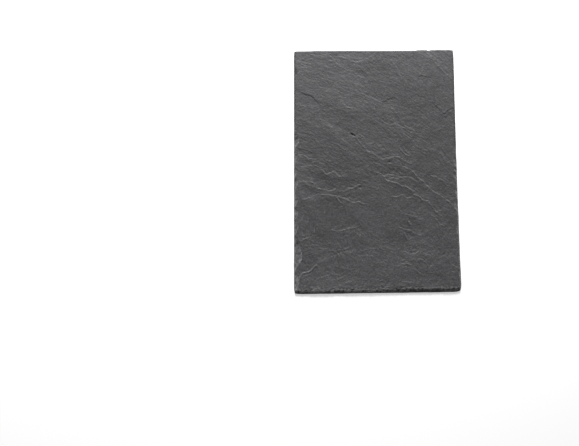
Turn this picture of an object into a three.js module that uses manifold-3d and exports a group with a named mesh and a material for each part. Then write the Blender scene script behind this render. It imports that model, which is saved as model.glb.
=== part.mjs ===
// Rectangular roofing slate: one piece of stone, riven by hand along its
// cleavage and dressed to size from the back, so that the broken bevel of
// every edge shows on the weather face.
//
// Millimetres. +X runs across the slate, +Y from the tail (the lower, exposed
// end) to the head, +Z out of the weather face. The back lies on Z = 0.

import * as THREE from 'three';
import { mergeVertices } from 'three/addons/utils/BufferGeometryUtils.js';
import Module from 'manifold-3d';

const wasm = await Module();
wasm.setup();

// ---- Driving dimensions -----------------------------------------------------

const slateLength = 300; // head to tail
const slateWidth = 200.5; // half-way up, were the right side straight
const sideFlare = 7; // how much wider the tail is than the head, all of it on the right
const rightSideBow = 0.9; // how far the right side is hollow between its ends
const headOutOfSquare = 1.5; // how far the right end of the head runs up
const tailOutOfSquare = 2.8; // how far the right end of the tail runs up
const slateThickness = 5.2; // back to the general level of the weather face

const tailBevelWidth = 4.8; // the broken bevels above the steep break, seen from above
const headBevelWidth = 0.9;
const rightBevelWidth = 1;
const leftBevelWidth = 1;
const bevelRaggedness = 0.4; // how much of its width a bevel gains or loses
const brokenWallHeight = 2.3; // height of the steep break under the bevel
const brokenWallLean = 0.45; // how far that break leans in
const arrisWander = 0.2; // how far the back edge strays from a straight line
const cornerReach = 11; // how far from a corner the stone lost from it is felt

const swellHeight = 0.22; // slow waves in the cleavage
const swellLength = 130;
const ledgeWallWidth = 0.6; // width of the steep little wall of a ledge
const ledgeFadeWidth = 30; // how far from a ledge its step has died away
const cellSize = 4; // spacing of the points that carry the riven face

const backFlakeDepth = 0.4; // thin flakes lost from the back

// ---- Ledges of the weather face ---------------------------------------------
// A ledge is where one cleavage layer ends. Points are in per cent of the
// slate's width and length from its middle, walked with the high side on the
// right. drop is the height of the step at the middle of the ledge.

const ledges = [
  { drop: 0.3, points: [[-26, 47], [-22, 44], [-17, 42], [-10, 40], [-5, 38]] },
  { drop: 0.3, points: [[-26, 49], [-17, 46], [-12, 45], [-5, 46.5]] },
  { drop: 0.5, points: [[-32, 24], [-35, 28], [-40, 31], [-44, 33], [-50, 33]] },
  { drop: 0.3, points: [[-14, 36], [-7, 32], [-1, 30], [5, 27.5]] },
  { drop: 0.3, points: [[8, 47], [13, 43], [18, 38], [21, 33]] },
  { drop: 0.4, points: [[51, 27], [46, 26], [41, 24], [38, 27], [34, 30]] },
  { drop: 0.4, points: [[5, 28.5], [13, 24], [18, 20], [26, 14], [31, 12], [37, 8]] },
  { drop: 0.75, points: [[-20, 16.5], [-13, 15.5], [-8, 11], [-2, 8], [4, 5.5], [13, 6], [18, 5], [24, 3]] },
  { drop: 0.7, points: [[22, 0], [27, -3], [32, -6], [36, -8.5], [40, -9], [45, -12], [52, -16]] },
  { drop: 0.4, points: [[-2, 0], [5, -1], [12, -1.5], [19, -2], [24, -4], [28, -7]] },
  { drop: 0.65, points: [[4, -1], [7, -3], [14, -4.7], [22, -7], [26, -9.5], [30, -11.7], [36, -14.5]] },
  { drop: 0.3, points: [[8, -10], [16, -9.3], [20, -10.7], [24, -10]] },
  { drop: 0.3, points: [[30, -0.5], [38, -2.2], [43, -5], [48, -7.5]] },
  { drop: 0.35, points: [[-50, 5.5], [-44, 7], [-38, 5], [-33, 4], [-27, 3.5]] },
  { drop: 0.5, points: [[-35, 1.5], [-30, -0.5], [-26, 0.7], [-23, -1.7], [-18, -2.5]] },
  { drop: 0.55, points: [[-52, -6.5], [-44, -3.7], [-39, -3.5], [-35, -6.8], [-30, -7.5], [-24, -6.5]] },
  { drop: 0.45, points: [[-26, -8.2], [-18, -7.3], [-10, -4.8]] },
  { drop: 0.55, points: [[-44, -10.7], [-35, -9], [-30, -10], [-21, -10.2], [-16, -11.7], [-10, -12.3], [-3, -12.7]] },
  { drop: 0.4, points: [[12, -15], [18, -17], [24, -18.3], [30, -20]] },
  { drop: 0.4, points: [[11, -21.2], [19, -23.5], [25, -25.3], [30, -27.5]] },
  { drop: 0.5, points: [[-33, -22], [-27, -23.5], [-22, -24], [-14, -22.7], [-7, -22]] },
  { drop: 0.6, points: [[-52, -47], [-47, -43], [-42, -40.3], [-38, -38.7], [-32, -36], [-22, -33.8]] },
  { drop: 0.3, points: [[-24, -34.2], [-16, -32.6], [-9, -35.5]] },
  { drop: 0.3, points: [[12, -31.2], [20, -33.2], [27, -30.7]] },
];

// ---- Corners ----------------------------------------------------------------
// across and along are 0 or 1, from left to right and from tail to head. loss
// is how much of the corner has broken off, along its diagonal.

const corners = [
  { across: 0, along: 0, loss: 1 },
  { across: 1, along: 0, loss: 1.8 },
  { across: 0, along: 1, loss: 0.7 },
  { across: 1, along: 1, loss: 1.2 },
];

// ---- Spalls of the long edges -----------------------------------------------
// Where a larger flake sprang off under the dressing knife, the bevel is wider.
// at is how far up the edge from its middle. length runs along it, reach inwards.

const leftSpalls = [
  { at: 37, length: 26, reach: 5 },
  { at: 14, length: 20, reach: 4.2 },
  { at: -14, length: 22, reach: 4 },
  { at: -37, length: 30, reach: 4.5 },
  { at: -70, length: 32, reach: 5 },
  { at: -105, length: 44, reach: 7 },
  { at: -130, length: 40, reach: 5 },
];

const rightSpalls = [
  { at: 14, length: 22, reach: 3.6 },
  { at: -23, length: 24, reach: 3.8 },
  { at: -66, length: 30, reach: 3.8 },
];

// ---- Flakes lost from the back ----------------------------------------------
// Outlines in the same per cent of width and length, past the edge where a
// flake has come off with it.

const backFlakes = [
  [[-56, 22], [-44, 24], [-37, 12], [-41, -3], [-38, -14], [-44, -24], [-56, -22]],
  [[56, 36], [43, 33], [34, 38], [22, 40], [17, 47], [20, 55], [56, 55]],
  [[28, -55], [31, -46], [41, -41], [47, -33], [56, -31], [56, -55]],
];

// ---- Helpers ----------------------------------------------------------------

const { lerp, smoothstep, clamp } = THREE.MathUtils;

function fromPercent([across, along]) {
  return new THREE.Vector2((across / 100) * slateWidth, (along / 100) * slateLength);
}

// A repeatable value from -1 to 1 for each whole number.
function jitter(index, seed) {
  const raw = Math.sin(index * 12.9898 + seed * 78.233) * 43758.5453;
  return 2 * (raw - Math.floor(raw)) - 1;
}

// The broken edge wanders over a few steps at a time, with a small nick at each.
function ragged(step, seed) {
  const spallSteps = 3.3;
  const index = Math.floor(step / spallSteps);
  const share = smoothstep(step / spallSteps - index, 0, 1);
  const wander = lerp(jitter(index, seed), jitter(index + 1, seed), share);
  return 0.65 * wander + 0.35 * jitter(step, seed + 0.5);
}

// The steep walls are chained points, so a point's place is found segment by
// segment: the nearest spot, how far along the ledge it is, and on which side.
function placeOnLedge(ledge, point) {
  const last = ledge.chain.length - 1;
  let best = null;
  for (let i = 0; i < last; i += 1) {
    const start = ledge.chain[i];
    const run = ledge.chain[i + 1].clone().sub(start);
    const toPoint = point.clone().sub(start);
    const share = clamp(toPoint.dot(run) / run.lengthSq(), 0, 1);
    const spot = start.clone().addScaledVector(run, share);
    const distance = spot.distanceTo(point);
    if (best === null || distance < best.distance) {
      const side = run.cross(toPoint) < 0 ? 1 : -1;
      best = { distance, side, spot, along: (i + share) / last };
    }
  }
  return best;
}

// A ledge dies out towards both of its ends.
function strengthAt(along) {
  const endShare = 0.3;
  return smoothstep(along, 0, endShare) * smoothstep(1 - along, 0, endShare);
}

for (const ledge of ledges) {
  const curve = new THREE.SplineCurve(ledge.points.map(fromPercent));
  ledge.chain = curve.getSpacedPoints(6 * ledge.points.length);
}

// ---- The weather face -------------------------------------------------------

function faceHeight(point) {
  const wave = (2 * Math.PI) / swellLength;
  const downGrain = point.x * 0.5 + point.y * 0.87;
  let height = slateThickness;
  height += swellHeight * Math.sin(downGrain * wave + 0.8);
  height += 0.5 * swellHeight * Math.sin((point.x - 0.4 * point.y) * 1.7 * wave);
  for (const ledge of ledges) {
    const { distance, side, along } = placeOnLedge(ledge, point);
    const step = side * Math.min(1, (2 * distance) / ledgeWallWidth);
    const fade = Math.exp((-2 * distance) / ledgeFadeWidth);
    height += 0.5 * ledge.drop * step * fade * strengthAt(along);
  }
  return height;
}

// Points next to a ledge are drawn in towards the foot or the rim of its wall,
// and those behind them follow part of the way, which keeps the wall narrow. The
// freedom to move is 0 beside the edge and 1 well inside.
function gatherToLedge(point, freedom) {
  const pull = 0.75;
  const nextToWall = 0.7 * cellSize;
  const reach = 2 * cellSize;
  let nearest = null;
  for (const ledge of ledges) {
    const place = placeOnLedge(ledge, point);
    if (nearest === null || place.distance < nearest.distance) {
      nearest = place;
    }
  }
  const share = clamp((nearest.distance - nextToWall) / (reach - nextToWall), 0, 1);
  const drawnIn = lerp(ledgeWallWidth / 2, reach, share);
  if (share === 1 || nearest.distance === 0) {
    return point;
  }
  const distance = lerp(nearest.distance, drawnIn, pull * freedom * strengthAt(nearest.along));
  return nearest.spot.clone().lerp(point, distance / nearest.distance);
}

// ---- The slate's outline ----------------------------------------------------
// across and along run from 0 to 1, from left to right and from tail to head.

function outlinePoint(across, along) {
  const left = -slateWidth / 2;
  const hollow = 4 * rightSideBow * along * (1 - along);
  const right = slateWidth / 2 + sideFlare * (0.5 - along) - hollow;
  const lift = lerp(tailOutOfSquare, headOutOfSquare, along) * (across - 0.5);
  const point = new THREE.Vector2(lerp(left, right, across), lerp(-0.5, 0.5, along) * slateLength + lift);
  for (const corner of corners) {
    const aside = Math.abs(across - corner.across) * slateWidth;
    const below = Math.abs(along - corner.along) * slateLength;
    const nearness = Math.max(0, 1 - Math.hypot(aside, below) / cornerReach);
    point.addScaledVector(inwardAt(corner.across, corner.along), corner.loss * nearness ** 2);
  }
  return point;
}

function distanceToEdge(across, along) {
  const toSide = Math.min(across, 1 - across) * slateWidth;
  const toEnd = Math.min(along, 1 - along) * slateLength;
  return Math.min(toSide, toEnd);
}

// Unit direction from an edge point towards the inside of the slate.
function inwardAt(across, along) {
  const x = (across === 0 ? 1 : 0) - (across === 1 ? 1 : 0);
  const y = (along === 0 ? 1 : 0) - (along === 1 ? 1 : 0);
  return new THREE.Vector2(x, y).normalize();
}

// ---- Building the slate -----------------------------------------------------
// A box of small cells is bent into shape: its lid becomes the riven face, its
// walls the dressed edges. Its floor is made afresh from a few large triangles.

const cellsAcross = Math.round(slateWidth / cellSize);
const cellsAlong = Math.round(slateLength / cellSize);
const wallRows = 3;

function bevelWidth(usualWidth, roughness, spalls, at) {
  let width = usualWidth * (1 + bevelRaggedness * roughness);
  for (const spall of spalls) {
    const off = (2 * (at - spall.at)) / spall.length;
    width = Math.max(width, spall.reach * (1 - off ** 2));
  }
  return width;
}

// The weather face spans from bevel to bevel, and a bevel starts where even the
// most hollow part of the steep break under it ends.
const deepestBreak = 2 * (arrisWander + brokenWallLean);

function facePoint(column, row) {
  const across = column / cellsAcross;
  const along = row / cellsAlong;
  const point = outlinePoint(across, along);
  const left = bevelWidth(leftBevelWidth, ragged(row, 7), leftSpalls, point.y);
  const right = bevelWidth(rightBevelWidth, ragged(row, 4), rightSpalls, point.y);
  const tail = bevelWidth(tailBevelWidth, ragged(column, 6), [], point.x);
  const head = bevelWidth(headBevelWidth, ragged(column, 5), [], point.x);
  point.x += lerp(deepestBreak + left, -deepestBreak - right, across);
  point.y += lerp(deepestBreak + tail, -deepestBreak - head, along);
  return point;
}

// Counts the cells around the rim, from the left end of the tail.
function stepAround(column, row) {
  if (row === 0) {
    return column;
  }
  if (column === cellsAcross) {
    return cellsAcross + row;
  }
  if (row === cellsAlong) {
    return 2 * cellsAcross + cellsAlong - column;
  }
  return 2 * (cellsAcross + cellsAlong) - row;
}

// The bevel rounds over: steep beside the wall and easy where it meets the face.
function bendIntoSlate(column, row, level) {
  const across = column / cellsAcross;
  const along = row / cellsAlong;
  const fromEdge = distanceToEdge(across, along);
  const inner = facePoint(column, row);
  if (fromEdge > 0) {
    const place = gatherToLedge(inner, smoothstep(fromEdge, cellSize, 3 * cellSize));
    return new THREE.Vector3(place.x, place.y, faceHeight(place));
  }
  const step = stepAround(column, row);
  const inward = inwardAt(across, along);
  const outer = outlinePoint(across, along);
  outer.addScaledVector(inward, arrisWander * (1 + ragged(step, 1)));
  if (level === 0) {
    return new THREE.Vector3(outer.x, outer.y, 0);
  }
  outer.addScaledVector(inward, brokenWallLean * (1 + ragged(step, 2)));
  const wallTop = brokenWallHeight * (1 + 0.3 * ragged(step, 3));
  const share = (level - 1) / (wallRows - 1);
  const place = outer.lerp(inner, share);
  const roundness = 1 - (1 - share) ** 2;
  return new THREE.Vector3(place.x, place.y, lerp(wallTop, faceHeight(inner), roundness));
}

// The box is read mirrored, so that the diagonals of its cells run down to the
// right, as most of the ledges do. That turns its triangles round as well.
function slabGeometry() {
  const box = new THREE.BoxGeometry(1, 1, 1, cellsAcross, cellsAlong, wallRows);
  const floorSide = 5;
  const boxPoints = box.getAttribute('position');
  const vertices = [];
  const vertexAt = new Map();
  const floorRing = [];

  function vertexFor(boxVertex) {
    const column = Math.round((0.5 - boxPoints.getX(boxVertex)) * cellsAcross);
    const row = Math.round((0.5 + boxPoints.getY(boxVertex)) * cellsAlong);
    const level = Math.round((0.5 + boxPoints.getZ(boxVertex)) * wallRows);
    const key = `${column} ${row} ${level}`;
    if (!vertexAt.has(key)) {
      vertexAt.set(key, vertices.length);
      vertices.push(bendIntoSlate(column, row, level));
    }
    if (level === 0) {
      floorRing[stepAround(column, row)] = vertexAt.get(key);
    }
    return vertexAt.get(key);
  }

  const faces = [];
  const walls = box.groups.filter((group, side) => side !== floorSide);
  for (const { start, count } of walls) {
    for (let i = start; i < start + count; i += 3) {
      const [a, b, c] = [i, i + 1, i + 2].map((corner) => vertexFor(box.index.getX(corner)));
      faces.push(a, c, b);
    }
  }

  const floorOutline = floorRing.map((index) => new THREE.Vector2(vertices[index].x, vertices[index].y));
  for (const [a, b, c] of THREE.ShapeUtils.triangulateShape(floorOutline, [])) {
    faces.push(floorRing[a], floorRing[c], floorRing[b]);
  }

  const geometry = new THREE.BufferGeometry().setFromPoints(vertices);
  geometry.setIndex(faces);
  return geometry;
}

function backFlakeGeometry(outline) {
  const shape = new THREE.Shape();
  const [first, ...rest] = outline.map(fromPercent);
  shape.moveTo(first.x, first.y);
  shape.splineThru(rest);
  const below = 1;
  const geometry = new THREE.ExtrudeGeometry(shape, {
    depth: backFlakeDepth + below,
    bevelEnabled: false,
    curveSegments: 12,
  });
  return geometry.translate(0, 0, -below);
}

// ---- Joining and cutting ----------------------------------------------------

function toSolid(geometry) {
  geometry.deleteAttribute('normal');
  geometry.deleteAttribute('uv');
  const merged = mergeVertices(geometry);
  return new wasm.Manifold(new wasm.Mesh({
    numProp: 3,
    vertProperties: new Float32Array(merged.getAttribute('position').array),
    triVerts: new Uint32Array(merged.index.array),
  }));
}

function toGeometry(solid) {
  const mesh = solid.getMesh();
  const geometry = new THREE.BufferGeometry();
  geometry.setAttribute('position', new THREE.BufferAttribute(mesh.vertProperties, 3));
  geometry.setIndex(new THREE.BufferAttribute(mesh.triVerts, 1));
  return geometry;
}

let slateSolid = toSolid(slabGeometry());
for (const outline of backFlakes) {
  slateSolid = slateSolid.subtract(toSolid(backFlakeGeometry(outline)));
}

// ---- The part ---------------------------------------------------------------

const slateGeometry = toGeometry(slateSolid);
slateGeometry.computeBoundingBox();
const middle = slateGeometry.boundingBox.getCenter(new THREE.Vector3());
slateGeometry.translate(-middle.x, -middle.y, 0);
slateGeometry.computeVertexNormals();

const slateStone = new THREE.MeshStandardMaterial({
  color: 0x56575a,
  roughness: 0.8,
  metalness: 0,
  flatShading: true,
});

const roofSlate = new THREE.Mesh(slateGeometry, slateStone);
roofSlate.name = 'roof_slate';

const group = new THREE.Group();
group.add(roofSlate);

export default group;
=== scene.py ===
"""A rectangular roofing slate: natural stone riven by hand along its cleavage, lying on its back.

+X runs across the slate, +Y from its tail to its head, +Z out of the riven weather face.
"""
from collections import namedtuple
import math

import bpy
import numpy as np
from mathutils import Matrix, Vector


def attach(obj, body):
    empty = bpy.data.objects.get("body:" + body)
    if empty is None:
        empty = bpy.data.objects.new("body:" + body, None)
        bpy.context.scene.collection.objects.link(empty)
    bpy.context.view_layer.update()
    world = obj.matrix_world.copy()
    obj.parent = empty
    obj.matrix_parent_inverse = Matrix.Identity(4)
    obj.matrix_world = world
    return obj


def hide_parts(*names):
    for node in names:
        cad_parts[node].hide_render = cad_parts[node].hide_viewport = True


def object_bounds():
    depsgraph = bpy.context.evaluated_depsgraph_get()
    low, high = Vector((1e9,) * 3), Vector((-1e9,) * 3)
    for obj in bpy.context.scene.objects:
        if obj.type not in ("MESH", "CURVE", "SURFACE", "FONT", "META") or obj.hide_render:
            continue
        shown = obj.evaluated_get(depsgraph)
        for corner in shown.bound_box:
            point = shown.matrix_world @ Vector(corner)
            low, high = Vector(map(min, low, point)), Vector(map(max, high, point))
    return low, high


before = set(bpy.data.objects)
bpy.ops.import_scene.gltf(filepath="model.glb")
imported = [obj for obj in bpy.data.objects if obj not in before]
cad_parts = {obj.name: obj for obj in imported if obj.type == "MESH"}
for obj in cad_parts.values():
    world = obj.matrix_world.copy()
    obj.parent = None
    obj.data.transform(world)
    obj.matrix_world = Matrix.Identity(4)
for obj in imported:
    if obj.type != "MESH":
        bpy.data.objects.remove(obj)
cad_low, cad_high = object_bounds()

MM = 0.001

# ---- Sizes of the slate, in millimetres ----
# The outline comes from the frame. The rest repeats what the slate was dressed and riven to.

side_flare = 7.0              # how much wider the tail is than the head, all of it on the right
right_side_bow = 0.9          # how far the right side is hollow between its ends
head_out_of_square = 1.5      # how far the right end of the head runs up
tail_out_of_square = 2.8      # how far the right end of the tail runs up
left_side = cad_low.x / MM
slate_width = (cad_high.x - cad_low.x) / MM - side_flare / 2
slate_length = (cad_high.y - cad_low.y) / MM - (head_out_of_square + tail_out_of_square) / 2
middle_x = left_side + slate_width / 2
middle_y = (cad_low.y / MM + tail_out_of_square / 2) + slate_length / 2
face_level = 5.2              # back to the general level of the weather face
highest_point = cad_high.z / MM - 0.02

# An edge is a steep break up from the back, with a bevel above it as wide as is given here.
tail_bevel = 4.8
head_bevel = 0.9
left_bevel = 1.0
right_bevel = 1.0
bevel_raggedness = 0.4        # how much of its width a bevel gains or loses
broken_wall_height = 2.3
broken_wall_lean = 0.45       # how far the steep break leans in
broken_wall_roughness = 0.12
arris_wander = 0.2            # how far the back edge strays from a straight line
deepest_break = 2 * (arris_wander + broken_wall_lean)
shift_reach = 10.0            # the face follows the edge's own course this far in
paleness_reach = 9.0          # an edge's own paleness holds this far in
lamina = 0.42                 # thickness of the layers that show in a broken edge
spall_step_height = 0.3       # the bed of a spall lies this much under the face
tail_roughness = 0.2          # how rough the face is beside the tail, where it was dressed most
tail_rough_reach = 9.0
edge_step = 4.0               # the broken edge changes its course about this often
steps_across = round(slate_width / edge_step)
steps_along = round(slate_length / edge_step)

# At a spall a larger flake sprang off a long edge: how far up the edge, its length, its reach.
left_spalls = [(121, 12, 3.9), (37, 19, 5.1), (14, 15, 2.8), (-2, 12, 2.7), (-16, 15, 3.9),
               (-36, 22, 3.9), (-52, 17, 4.6), (-69, 19, 4.6), (-85, 13, 3.6), (-103, 39, 7.8),
               (-136, 24, 5.1)]
right_spalls = [(11, 12, 4.3), (1, 6, 2.7), (-6, 10, 3.9), (-25, 10, 3.2), (-42, 19, 3.9),
                (-71, 17, 3.4), (-108, 12, 1.9), (-126, 10, 2.2)]

# How far the head's edge keeps inside its line: place across the slate, and distance.
head_line = [(-110, 0.5), (-78, 0.5), (-75, 0.05), (40, 0.65), (50, 0.7), (52, 0), (63, 0),
             (64, 0.7), (67, 0.7), (68, 0), (110, 0)]

# Stone lost from the corners: across, up, and how much along the diagonal.
corners = [(0, 0, 1.6), (1, 0, 2.5), (0, 1, 0.7), (1, 1, 1.2)]
corner_reach = 11.0           # how far from a corner its loss is felt

swell_height = 0.22           # slow waves in the cleavage
swell_length = 130.0
ledge_wall_width = 0.7        # width of the steep little wall of a ledge
ledge_fade = 15.0             # the layer that a ledge ends dies away slowly,
lip_fade = 2.4                # and its very rim stands a little proud
lip_share = 0.9
ledge_end = 0.12              # this share of its length fades out at each end
ledge_scallop = 0.65          # ledges break in scallops this deep,
scallop_length = 4.5          # and about this far apart
# Ledge rims that face the head are drawn pale, partly fresh broken stone and partly a painted
# highlight.
rim_highlight_paleness = 0.5
rim_width = 0.5               # a ledge's rim is drawn paler over about this width, partly fresh broken stone and partly a painted highlight
painted_ledge_shade = 0.7        # behind a rim that faces the head the stone is painted darker, as shade,
ledge_shade_place, ledge_shade_width = 2.0, 0.8    # this far in and over about this width
thin_layer_height = 0.155     # height of the faint ledges everywhere between the others
# The faint layers' rims that face the head get a painted highlight as well.
thin_layer_highlight = 0.1

# The layers that end at a ledge, itself first and then the fainter ones beside it: how far off to
# its right, and their share of its height.
layers_beside = [(0, 1.0), (-3.0, 0.45), (3.6, 0.4)]

# ---- The mesh's own fineness ----

fine_cell = 0.5               # beside the edges, where the stone is broken
fine_cells = 12
face_cell = 1.04              # over the rest of the face, and half of that beside a ledge
wall_rows = 5
back_rim = 4.0                # the back's own cells start this far in
back_cells = (72, 107)


# ---- Noise ----
# It is worked out from places and a seed alone, so the slate is the same each time. A place is
# divided by the size that the bumps should have, and the seed says which bumps they are.

def lattice(column, row, seed):
    """A repeatable value from -1 to 1 at each whole-number point."""
    mixed = (column * 374761393 + row * 668265263 + seed * 362437) & 0xFFFFFFFF
    mixed = ((mixed ^ (mixed >> 13)) * 1274126177) & 0xFFFFFFFF
    return ((mixed ^ (mixed >> 16)) & 0xFFFFFF) / 0x7FFFFF - 1.0


def smooth_noise(x, y, seed):
    """Soft bumps from -1 to 1, about one unit across."""
    column = np.floor(x).astype(np.int64)
    row = np.floor(y).astype(np.int64)
    fx = x - column
    fy = y - row
    fx = fx * fx * fx * (fx * (fx * 6 - 15) + 10)
    fy = fy * fy * fy * (fy * (fy * 6 - 15) + 10)
    near = lattice(column, row, seed) * (1 - fx) + lattice(column + 1, row, seed) * fx
    far = lattice(column, row + 1, seed) * (1 - fx) + lattice(column + 1, row + 1, seed) * fx
    return near * (1 - fy) + far * fy


def layered_noise(x, y, seed, layers=3):
    """Soft bumps with finer ones on them. Each layer is half as large as the one before it."""
    total = np.zeros_like(x)
    for layer in range(layers):
        total += smooth_noise(x * 2 ** layer, y * 2 ** layer, seed + layer) / 2 ** layer
    return total


def smoothstep(value, low, high):
    """From 0 at low to 1 at high, with soft ends."""
    share = np.clip((value - low) / (high - low), 0, 1)
    return share * share * (3 - 2 * share)


def thin_layers(level_at, x, y):
    """Steps one unit high where a slope passes whole numbers, measured from the plain slope, and
    how pale their rims are drawn: a painted highlight on rims that face the head. The riser is as
    wide as a ledge's, however steep the slope."""
    apart = 0.4
    level = level_at(x, y)
    slope_x = (level_at(x + apart, y) - level_at(x - apart, y)) / (2 * apart)
    slope_y = (level_at(x, y + apart) - level_at(x, y - apart)) / (2 * apart)
    slope = np.hypot(slope_x, slope_y) + 1e-6
    nearest = np.rint(level)
    away = (level - nearest) / slope
    riser = smoothstep(away, -ledge_wall_width / 2, ledge_wall_width / 2)
    step = nearest - 0.5 + riser - level
    # Only a rim that faces the head, towards the lamp, is drawn pale: a painted highlight.
    rim = np.exp(-(away / rim_width) ** 2) * smoothstep(-slope_y / slope, 0.1, 0.7)
    return step, rim


def jitter(index, seed):
    """A repeatable value from -1 to 1 for each whole number."""
    raw = np.sin(index * 12.9898 + seed * 78.233) * 43758.5453
    return 2 * (raw - np.floor(raw)) - 1


def ragged_step(step, seed):
    """The course of the broken edge at whole steps around the rim."""
    spall_steps = 3.3           # a small spall is about this long
    index = np.floor(step / spall_steps)
    share = smoothstep(step / spall_steps - index, 0, 1)
    wander = jitter(index, seed) * (1 - share) + jitter(index + 1, seed) * share
    return 0.65 * wander + 0.35 * jitter(step, seed + 0.5)


def ragged(step, seed):
    """The same course between the steps, with fine nicks on it."""
    whole = np.floor(step)
    share = step - whole
    course = ragged_step(whole, seed) * (1 - share) + ragged_step(whole + 1, seed) * share
    nicks = layered_noise(step * 1.9, step * 0 + seed * 3.1, 40 + int(seed))
    return course + 0.25 * nicks


# ---- Ledges, folds and marks of the stone ----
# All places are millimetres from the middle of the slate.

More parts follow.
